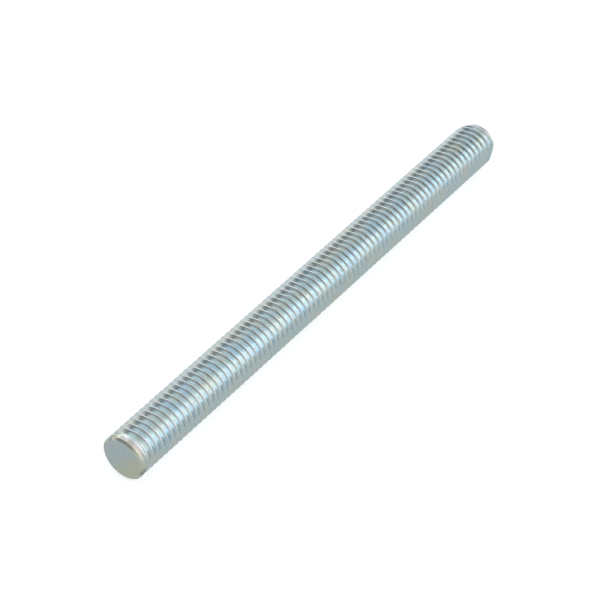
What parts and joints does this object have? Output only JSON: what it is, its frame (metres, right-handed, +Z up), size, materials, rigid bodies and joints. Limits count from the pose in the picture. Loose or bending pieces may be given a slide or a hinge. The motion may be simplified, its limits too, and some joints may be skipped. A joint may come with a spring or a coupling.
{
  "type": "threaded rod",
  "caption": "Fully threaded metric rod in zinc-plated steel, with a sawn bevelled end and a tapered lead-in end.",
  "frame": {"origin": "on the surface the rod lies on, under the middle of its length", "axes": "+X along the rod from the sawn end towards the tapered lead-in end, +Z up from the surface it lies on"},
  "size_m": [0.1014, 0.008, 0.008],
  "materials": {
    "zinc_plated_steel": "bright zinc plate with a faint blue passivate"
  },
  "bodies": {
    "root": {"threaded_rod": "zinc_plated_steel"}
  },
  "joints": []
}
